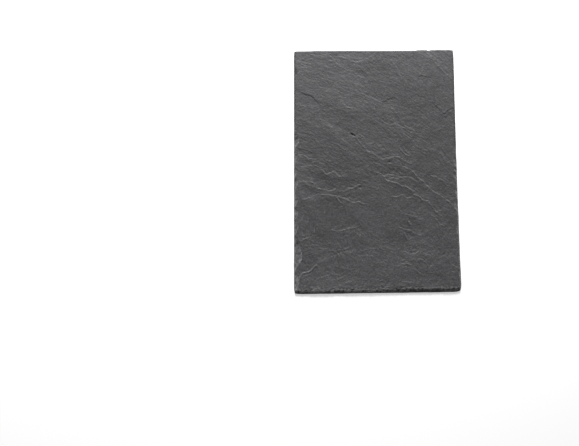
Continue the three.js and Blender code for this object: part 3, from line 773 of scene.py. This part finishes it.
def make_slate():
    """A grid for the weather face, extruded down for the broken edges and bridged to a coarser
    grid for the back. Each point is then put in its place on the stone."""
    columns = edge_places(slate_width)
    rows = edge_places(slate_length)
    deselect_all()
    bpy.ops.mesh.primitive_grid_add(x_subdivisions=len(columns) - 1, y_subdivisions=len(rows) - 1,
                                    size=1)
    slate = bpy.context.object
    slate.name = "riven_slate"
    slate.data.name = "riven_slate"
    select_faces_beside_ledges(slate.data)
    bpy.ops.object.mode_set(mode="EDIT")
    bpy.ops.mesh.select_mode(type="FACE")
    bpy.ops.mesh.subdivide(number_cuts=1)
    bpy.ops.mesh.select_all(action="SELECT")
    bpy.ops.mesh.region_to_loop()
    for _ in range(wall_rows):
        bpy.ops.mesh.extrude_edges_move(TRANSFORM_OT_translate={"value": (0, 0, -1)})
    bpy.ops.mesh.primitive_grid_add(x_subdivisions=back_cells[0], y_subdivisions=back_cells[1],
                                    size=1, location=(0, 0, -wall_rows - 1))
    bpy.ops.mesh.select_all(action="DESELECT")
    bpy.ops.mesh.select_mode(type="EDGE")
    bpy.ops.mesh.select_non_manifold(use_wire=False, use_multi_face=False,
                                     use_non_contiguous=False, use_verts=False)
    bpy.ops.mesh.bridge_edge_loops()
    bpy.ops.mesh.select_all(action="SELECT")
    bpy.ops.mesh.normals_make_consistent(inside=False)
    bpy.ops.object.mode_set(mode="OBJECT")

    places = np.empty(len(slate.data.vertices) * 3)
    slate.data.vertices.foreach_get("co", places)
    places = places.reshape(-1, 3)
    level = np.rint(-places[:, 2])
    on_back = level > wall_rows
    u = np.where(on_back, 0.5 + places[:, 0] * (1 - 2 * back_rim / slate_width),
                 place_on_slate(places[:, 0], columns))
    v = np.where(on_back, 0.5 + places[:, 1] * (1 - 2 * back_rim / slate_length),
                 place_on_slate(places[:, 1], rows))
    x, y, z, pale_break_and_highlight, dark = bend_into_slate(u, v, np.minimum(level, wall_rows))
    z = np.where(on_back, riven_back(x - middle_x, y - middle_y), z)
    slate.data.vertices.foreach_set("co", (np.stack([x, y, z], axis=1) * MM).ravel())
    # Paleness, partly fresh break and partly painted highlight, and painted shade, which also holds
    # the darker weathered patches.
    for name, values in (("fresh_break_and_highlight", pale_break_and_highlight), ("painted_shade_and_dark_patches", dark)):
        state = slate.data.attributes.new(name, "FLOAT", "POINT")
        state.data.foreach_set("value", np.where(on_back, 0, np.clip(values, 0, 1)))
    along, across = grain_at(x - middle_x, y - middle_y)
    grain = slate.data.attributes.new("grain", "FLOAT_VECTOR", "POINT")
    grain.data.foreach_set("vector", (np.stack([along, across, z], axis=1) * MM).ravel())
    slate.data.update()
    return slate


# ---- Material ----

def linear(hex_colour):
    """An sRGB hex colour as linear red, green and blue with full alpha."""
    channels = [int(hex_colour[i:i + 2], 16) / 255 for i in (1, 3, 5)]
    return [c / 12.92 if c <= 0.04045 else ((c + 0.055) / 1.055) ** 2.4
            for c in channels] + [1.0]


def add_node(tree, kind, settings=None, links=None, **values):
    """Adds a node, sets its properties and input values, and links sockets into its inputs."""
    node = tree.nodes.new(kind)
    for name, value in (settings or {}).items():
        setattr(node, name, value)
    for name, value in values.items():
        node.inputs[name.replace("_", " ")].default_value = value
    for name, socket in (links or {}).items():
        tree.links.new(socket, node.inputs[name])
    return node


def riven_slate_stone():
    """Dark grey slate, split and left as split: fine mica lies flat in the cleavage, so the stone
    is matt with a faint lustre, streaked along the grain and lighter where it has broken across.
    Its colour also carries painted light: highlights on ledge rims that face the head, shade on the
    broken walls, on the edge feet and behind ledges, and a fall of light along the slate."""
    material = bpy.data.materials.new("riven_slate_stone")
    material.use_nodes = True
    tree = material.node_tree
    tree.nodes.clear()
    place = add_node(tree, "ShaderNodeTexCoord").outputs["Object"]
    up_slate = add_node(tree, "ShaderNodeSeparateXYZ", links={"Vector": place}).outputs["Y"]
    # The streaks follow the grain of the cleavage, which is worked out with the mesh.
    grain = add_node(tree, "ShaderNodeAttribute", {"attribute_name": "grain"}).outputs["Vector"]

    # Length, width and height of each pattern's bumps, in millimetres. The grain and the grit of
    # the real stone are finer, about half a millimetre, and are drawn this coarse to show.
    patterns = {}
    for name, source, size, settings in (
            ("straight streaks", grain, (7.0, 2.2, 2.2),
             {"Detail": 1.5, "Roughness": 0.5, "Distortion": 0.4}),
            ("curly streaks", grain, (2.8, 2.8, 2.8),
             {"Detail": 1.5, "Roughness": 0.5, "Distortion": 1.2}),
            ("grit", place, (2.1, 2.4, 2.4), {"Detail": 1.5, "Roughness": 0.5}),
            ("flecks", grain, (3.0, 1.3, 1.3), {"Detail": 1.0}),
            ("clouds", grain, (60, 26, 26), {"Detail": 4.0, "Roughness": 0.65}),
            ("straight layers", grain, (45, 7, 7), {"Detail": 3.0}),
            ("curly layers", grain, (13, 13, 13), {"Detail": 3.0})):
        sized = add_node(tree, "ShaderNodeMapping", links={"Vector": source},
                         Scale=[1 / (side * MM) for side in size])
        patterns[name] = add_node(tree, "ShaderNodeTexNoise", links={"Vector": sized.outputs[0]},
                                  Scale=1.0, **settings).outputs[0]

    # Long and straight down the grain over the upper part, short and curly towards the tail.
    towards_tail = add_node(tree, "ShaderNodeMapRange", links={"Value": up_slate},
                            From_Min=-0.01, From_Max=-0.08).outputs[0]
    for name in ("streaks", "layers"):
        patterns[name] = add_node(tree, "ShaderNodeMix", {"data_type": "FLOAT"},
                                  {"Factor": towards_tail, 2: patterns["straight " + name],
                                   3: patterns["curly " + name]}).outputs[0]

    # Where the fine pattern is darkest and palest, and how strong its relief is: each over the
    # upper part, and then towards the tail, which has more contrast.
    darkest_at, palest_at, grain_strength = [
        add_node(tree, "ShaderNodeMapRange", links={"Value": towards_tail},
                 To_Min=upper, To_Max=lower).outputs[0]
        for upper, lower in ((0.34, 0.39), (0.66, 0.61), (1.0, 0.85))]
    fine = add_node(tree, "ShaderNodeMix", {"data_type": "FLOAT"},
                    {2: patterns["streaks"], 3: patterns["grit"]})
    fine.inputs[0].default_value = 0.55
    tone_share = add_node(tree, "ShaderNodeMapRange",
                          links={"Value": fine.outputs[0], "From Min": darkest_at,
                                 "From Max": palest_at})
    tone = add_node(tree, "ShaderNodeMix", {"data_type": "RGBA"},
                    {"Factor": tone_share.outputs[0]})
    tone.inputs[6].default_value = linear("#414143")
    tone.inputs[7].default_value = linear("#535355")

    # Partly painted light: the stone is drawn a shade darker across the middle of the slate than at
    # its two ends, which stands in part for light falling off from the head end. The soft clouds
    # along the grain are the stone's own.
    up_share = add_node(tree, "ShaderNodeMapRange", links={"Value": up_slate},
                        From_Min=-0.15, From_Max=0.15)
    light_falloff_belts = add_node(tree, "ShaderNodeValToRGB", links={"Fac": up_share.outputs[0]})
    ramp = light_falloff_belts.color_ramp
    ramp.interpolation = "B_SPLINE"
    ramp.elements[0].position, ramp.elements[1].position = 0.0, 1.0
    for position in (0.15, 0.35, 0.6, 0.85):
        ramp.elements.new(position)
    # Painted light: these shades darken the middle of the slate against its ends.
    for element, shade in zip(ramp.elements, (0.824, 0.854, 0.669, 0.632, 0.688, 0.844)):
        element.color = (shade, shade, shade, 1)
    clouds = add_node(tree, "ShaderNodeMapRange", links={"Value": patterns["clouds"]},
                      From_Min=0.3, From_Max=0.7, To_Min=1.085, To_Max=1.42)
    clouds_and_falloff = add_node(tree, "ShaderNodeMath", {"operation": "MULTIPLY"},
                      {0: light_falloff_belts.outputs["Color"], 1: clouds.outputs[0]})
    tone_with_falloff = add_node(tree, "ShaderNodeVectorMath", {"operation": "SCALE"},
                       {"Vector": tone.outputs[2], "Scale": clouds_and_falloff.outputs[0]})

    # Fresh breaks and flecks of mica are paler, and ledge rims that face the head carry a painted
    # highlight. The broken walls, the foot of a broken edge and the stone behind ledges are painted
    # dark, as shade.
    pale_break_and_highlight = add_node(tree, "ShaderNodeAttribute", {"attribute_name": "fresh_break_and_highlight"})
    flecks = add_node(tree, "ShaderNodeMapRange", links={"Value": patterns["flecks"]},
                      From_Min=0.64, From_Max=0.8, To_Max=0.35)
    paler = add_node(tree, "ShaderNodeMath", {"operation": "MAXIMUM"},
                     {0: pale_break_and_highlight.outputs["Fac"], 1: flecks.outputs[0]})
    lightened = add_node(tree, "ShaderNodeMix", {"data_type": "RGBA"},
                         {"Factor": paler.outputs[0], 6: tone_with_falloff.outputs[0]})
    # The pale colour of fresh breaks and of the painted highlight.
    lightened.inputs[7].default_value = linear("#8b8b8d")
    dark = add_node(tree, "ShaderNodeAttribute", {"attribute_name": "painted_shade_and_dark_patches"})
    colour = add_node(tree, "ShaderNodeMix", {"data_type": "RGBA"},
                      {"Factor": dark.outputs["Fac"], 6: lightened.outputs[2]})
    # The colour of the painted shade.
    colour.inputs[7].default_value = linear("#2b2b2c")

    # Layers too thin to model end in faint steps all over the face.
    layer_number = add_node(tree, "ShaderNodeMath", {"operation": "MULTIPLY"},
                            {0: patterns["layers"]})
    layer_number.inputs[1].default_value = 8.0
    layer_part = add_node(tree, "ShaderNodeMath", {"operation": "FRACT"},
                          {0: layer_number.outputs[0]})
    riser = add_node(tree, "ShaderNodeMapRange", {"interpolation_type": "SMOOTHSTEP"},
                     {"Value": layer_part.outputs[0]}, From_Min=0.84, From_Max=1.0)
    layer_step = add_node(tree, "ShaderNodeMath", {"operation": "SUBTRACT"},
                          {0: riser.outputs[0], 1: layer_part.outputs[0]})
    grain_bump = add_node(tree, "ShaderNodeBump",
                          links={"Height": fine.outputs[0], "Strength": grain_strength},
                          Distance=0.6 * MM)
    bump = add_node(tree, "ShaderNodeBump",
                    links={"Height": layer_step.outputs[0], "Normal": grain_bump.outputs[0]},
                    Strength=1.0, Distance=0.10 * MM)

    roughness = add_node(tree, "ShaderNodeMapRange", links={"Value": patterns["streaks"]},
                         From_Min=0.3, From_Max=0.7, To_Min=0.66, To_Max=0.54)
    shader = add_node(tree, "ShaderNodeBsdfPrincipled",
                      links={"Base Color": colour.outputs[2], "Normal": bump.outputs[0],
                             "Roughness": roughness.outputs[0]}, IOR=1.5)
    add_node(tree, "ShaderNodeOutputMaterial", links={"Surface": shader.outputs[0]})
    return material


# ---- Stage, light and camera ----

def make_floor():
    """A pale floor that takes the slate's shadow. It has white of its own that only the camera
    and reflections see."""
    deselect_all()
    bpy.ops.mesh.primitive_plane_add(size=12, location=(0, 0, 0))
    floor = bpy.context.object
    floor.name = "pale_floor"
    material = bpy.data.materials.new("pale_floor")
    material.use_nodes = True
    tree = material.node_tree
    tree.nodes.clear()
    path = add_node(tree, "ShaderNodeLightPath")
    seen = add_node(tree, "ShaderNodeMath", {"operation": "MAXIMUM"},
                    {0: path.outputs["Is Camera Ray"], 1: path.outputs["Is Glossy Ray"]})
    glow_strength = add_node(tree, "ShaderNodeMath", {"operation": "MULTIPLY"},
                             {0: seen.outputs[0]})
    glow_strength.inputs[1].default_value = 0.5
    glow = add_node(tree, "ShaderNodeEmission", links={"Strength": glow_strength.outputs[0]})
    matt = add_node(tree, "ShaderNodeBsdfDiffuse", Color=linear("#f0f0f0"))
    both = add_node(tree, "ShaderNodeAddShader", links={0: matt.outputs[0], 1: glow.outputs[0]})
    add_node(tree, "ShaderNodeOutputMaterial", links={"Surface": both.outputs[0]})
    floor.data.materials.append(material)


def light_the_room():
    """One softbox beyond the head, low enough to rake the riven face, in a dim white room."""
    world = bpy.data.worlds.new("pale_room")
    bpy.context.scene.world = world
    world.use_nodes = True
    tree = world.node_tree
    tree.nodes.clear()
    path = add_node(tree, "ShaderNodeLightPath")
    dim = add_node(tree, "ShaderNodeBackground", Color=linear("#ffffff"), Strength=0.12)
    white = add_node(tree, "ShaderNodeBackground", Color=linear("#ffffff"), Strength=1.0)
    room = add_node(tree, "ShaderNodeMixShader",
                    links={"Fac": path.outputs["Is Camera Ray"], 1: dim.outputs[0],
                           2: white.outputs[0]})
    add_node(tree, "ShaderNodeOutputWorld", links={"Surface": room.outputs[0]})

    softbox = bpy.data.lights.new("head_side_softbox", "AREA")
    softbox.shape = "RECTANGLE"
    softbox.size, softbox.size_y = 0.6, 0.4
    softbox.energy = 22
    lamp = bpy.data.objects.new("head_side_softbox", softbox)
    bpy.context.collection.objects.link(lamp)
    lamp.location = (-0.02, 0.95, 0.72)
    aim = Vector((-0.6, 0, 0))
    lamp.rotation_euler = (aim - lamp.location).to_track_quat("-Z", "Y").to_euler()


def place_camera():
    """Looks almost straight down, leaning a little to the tail side."""
    view_width = 579              # in pixels
    mm_per_pixel = 1.215
    target = Vector((-106.9, -63.7, 0)) * MM    # the slate lies up to the right of this
    lean = math.radians(6.5)
    distance = 2.2
    camera_data = bpy.data.cameras.new("camera")
    camera_data.sensor_width = 36
    camera_data.lens = camera_data.sensor_width * distance / (view_width * mm_per_pixel * MM)
    camera = bpy.data.objects.new("camera", camera_data)
    bpy.context.collection.objects.link(camera)
    camera.location = target + distance * Vector((0, -math.sin(lean), math.cos(lean)))
    camera.rotation_euler = (lean, 0, 0)
    bpy.context.scene.camera = camera


slate = make_slate()
slate.data.materials.clear()
slate.data.materials.append(riven_slate_stone())
slate.data.shade_smooth()
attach(slate, "root")
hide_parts("roof_slate")

make_floor()
light_the_room()
place_camera()
bpy.context.scene.view_settings.view_transform = "Standard"
